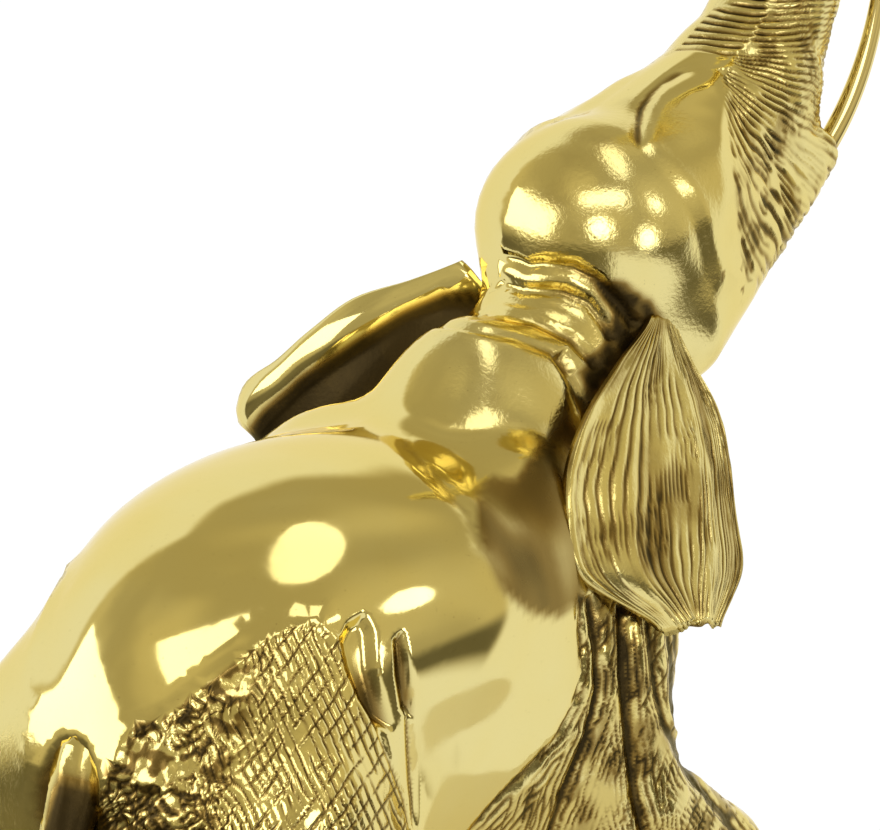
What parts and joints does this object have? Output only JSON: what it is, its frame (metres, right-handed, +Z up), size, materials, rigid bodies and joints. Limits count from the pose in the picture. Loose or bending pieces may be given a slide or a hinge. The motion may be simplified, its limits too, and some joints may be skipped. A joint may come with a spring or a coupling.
{
  "type": "bronze elephant sculpture",
  "caption": "Polished cast elephant with raised trunk and spread ears, one foreleg stepping forward, fitted tusks, on a low rounded base.",
  "frame": {"origin": "centre of the base's underside", "axes": "+X towards the head, +Y to the elephant's left, +Z up"},
  "size_m": [0.6013, 0.2671, 0.6618],
  "materials": {
    "cast_brass": "mirror polished, dark patina in the engraved texture",
    "tusk_brass": "mirror polished",
    "base_brass": "satin, darker patina"
  },
  "bodies": {
    "root": {"elephant": "cast_brass", "right_tusk": "tusk_brass", "left_tusk": "tusk_brass", "base": "base_brass"}
  },
  "joints": []
}
